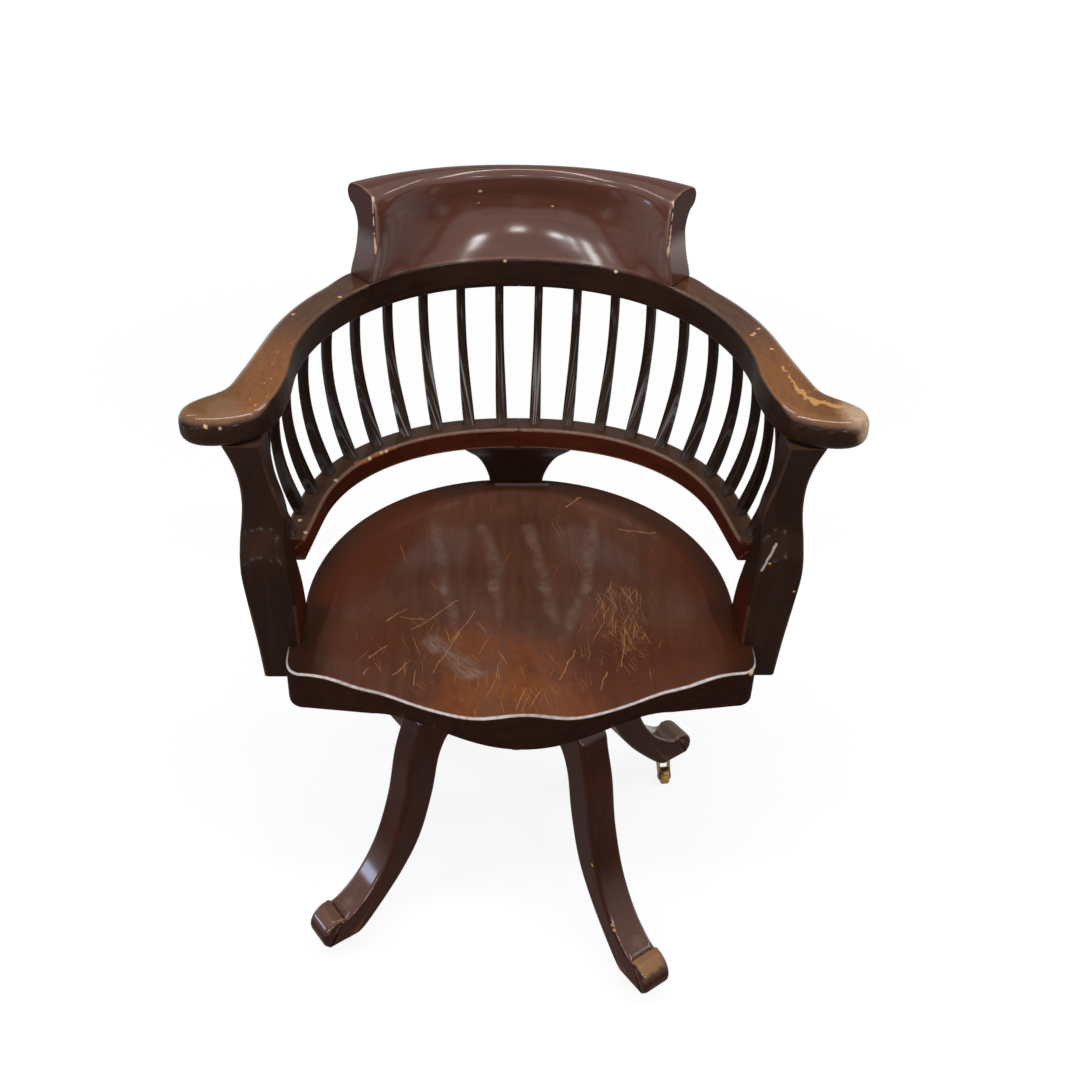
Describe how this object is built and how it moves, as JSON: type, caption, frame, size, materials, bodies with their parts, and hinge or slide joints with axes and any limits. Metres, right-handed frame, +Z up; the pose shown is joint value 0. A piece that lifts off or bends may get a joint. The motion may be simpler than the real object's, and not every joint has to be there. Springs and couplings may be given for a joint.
{
  "type": "bankers swivel chair",
  "caption": "Wooden swivel armchair with a saddle seat, spindled horseshoe back and crest rail, on a four-legged screw-raised base with brass castors.",
  "frame": {"origin": "on the floor under the middle of the whole chair's bounding box; the swivel axis stands 15 mm in front of it", "axes": "+Z up along the swivel axis, -Y the way the sitter faces, +X to the right of someone who looks at the front"},
  "size_m": [0.6682, 0.5286, 0.8523],
  "materials": {
    "dark_mahogany": "polished, dark red-brown",
    "seat_mahogany": "polished, worn and scratched",
    "worn_mahogany": "polished, worn golden on top",
    "cast_iron": "black japanned",
    "steel": "turned, dull",
    "brass": "aged"
  },
  "bodies": {
    "base": {"hub": "dark_mahogany", "hub_plate": "cast_iron", "screw_bush": "cast_iron", "leg_front_right": "dark_mahogany", "leg_rear_right": "dark_mahogany", "leg_rear_left": "dark_mahogany", "leg_front_left": "dark_mahogany", "castor_plate_front_right": "brass", "castor_plate_rear_right": "brass", "castor_plate_rear_left": "brass", "castor_plate_front_left": "brass"},
    "hand_wheel": {"hand_wheel": "cast_iron"},
    "spindle": {"spindle_screw": "steel", "thrust_washer": "brass"},
    "seat": {"seat_iron": "cast_iron", "seat": "seat_mahogany", "centre_support": "dark_mahogany", "arm_post_right": "dark_mahogany", "arm_post_left": "dark_mahogany", "lower_rail_right": "dark_mahogany", "lower_rail_left": "dark_mahogany", "arm_bow_right": "worn_mahogany", "arm_bow_left": "worn_mahogany", "crest_rail": "dark_mahogany", "spindle_right_1": "dark_mahogany", "spindle_right_2": "dark_mahogany", "spindle_right_3": "dark_mahogany", "spindle_right_4": "dark_mahogany", "spindle_right_5": "dark_mahogany", "spindle_right_6": "dark_mahogany", "spindle_right_7": "dark_mahogany", "spindle_right_8": "dark_mahogany", "spindle_right_9": "dark_mahogany", "spindle_right_10": "dark_mahogany", "spindle_left_1": "dark_mahogany", "spindle_left_2": "dark_mahogany", "spindle_left_3": "dark_mahogany", "spindle_left_4": "dark_mahogany", "spindle_left_5": "dark_mahogany", "spindle_left_6": "dark_mahogany", "spindle_left_7": "dark_mahogany", "spindle_left_8": "dark_mahogany", "spindle_left_9": "dark_mahogany", "spindle_left_10": "dark_mahogany"},
    "castor_front_right": {"castor_horn_front_right": "brass", "castor_axle_front_right": "steel"},
    "wheel_front_right": {"castor_wheel_front_right": "brass"},
    "castor_rear_right": {"castor_horn_rear_right": "brass", "castor_axle_rear_right": "steel"},
    "wheel_rear_right": {"castor_wheel_rear_right": "brass"},
    "castor_rear_left": {"castor_horn_rear_left": "brass", "castor_axle_rear_left": "steel"},
    "wheel_rear_left": {"castor_wheel_rear_left": "brass"},
    "castor_front_left": {"castor_horn_front_left": "brass", "castor_axle_front_left": "steel"},
    "wheel_front_left": {"castor_wheel_front_left": "brass"}
  },
  "joints": [
    {"name": "height_slide", "type": "slide", "parent": "base", "child": "spindle", "axis": [0, 0, 1], "range_m": [0, 0.07]},
    {"name": "hand_wheel_turn", "type": "hinge", "parent": "base", "child": "hand_wheel", "pos_m": [0, -0.015, 0.36], "axis": [0, 0, 1], "range_deg": [0, 3200]},
    {"name": "seat_swivel", "type": "hinge", "parent": "spindle", "child": "seat", "pos_m": [0, -0.015, 0.39], "axis": [0, 0, 1], "continuous": true},
    {"name": "castor_front_right_swivel", "type": "hinge", "parent": "base", "child": "castor_front_right", "pos_m": [0.14463, -0.22623, 0.0335], "axis": [0, 0, 1], "continuous": true},
    {"name": "wheel_front_right_roll", "type": "hinge", "parent": "castor_front_right", "child": "wheel_front_right", "pos_m": [0.14526, -0.20824, 0.012], "axis": [-0.9994, 0.0349, 0], "continuous": true},
    {"name": "castor_rear_right_swivel", "type": "hinge", "parent": "base", "child": "castor_rear_right", "pos_m": [0.21123, 0.12963, 0.0335], "axis": [0, 0, 1], "continuous": true},
    {"name": "wheel_rear_right_roll", "type": "hinge", "parent": "castor_rear_right", "child": "wheel_rear_right", "pos_m": [0.21311, 0.11173, 0.012], "axis": [0.9945, 0.1045, 0], "continuous": true},
    {"name": "castor_rear_left_swivel", "type": "hinge", "parent": "base", "child": "castor_rear_left", "pos_m": [-0.14463, 0.19623, 0.0335], "axis": [0, 0, 1], "continuous": true},
    {"name": "wheel_rear_left_roll", "type": "hinge", "parent": "castor_rear_left", "child": "wheel_rear_left", "pos_m": [-0.14683, 0.17836, 0.012], "axis": [0.9925, -0.1219, 0], "continuous": true},
    {"name": "castor_front_left_swivel", "type": "hinge", "parent": "base", "child": "castor_front_left", "pos_m": [-0.21123, -0.15963, 0.0335], "axis": [0, 0, 1], "continuous": true},
    {"name": "wheel_front_left_roll", "type": "hinge", "parent": "castor_front_left", "child": "wheel_front_left", "pos_m": [-0.21405, -0.14185, 0.012], "axis": [-0.9877, -0.1564, 0], "continuous": true}
  ],
  "couplings": [
    {"joint": "hand_wheel_turn", "follows": "height_slide", "rad_per_m": 785.4}
  ]
}
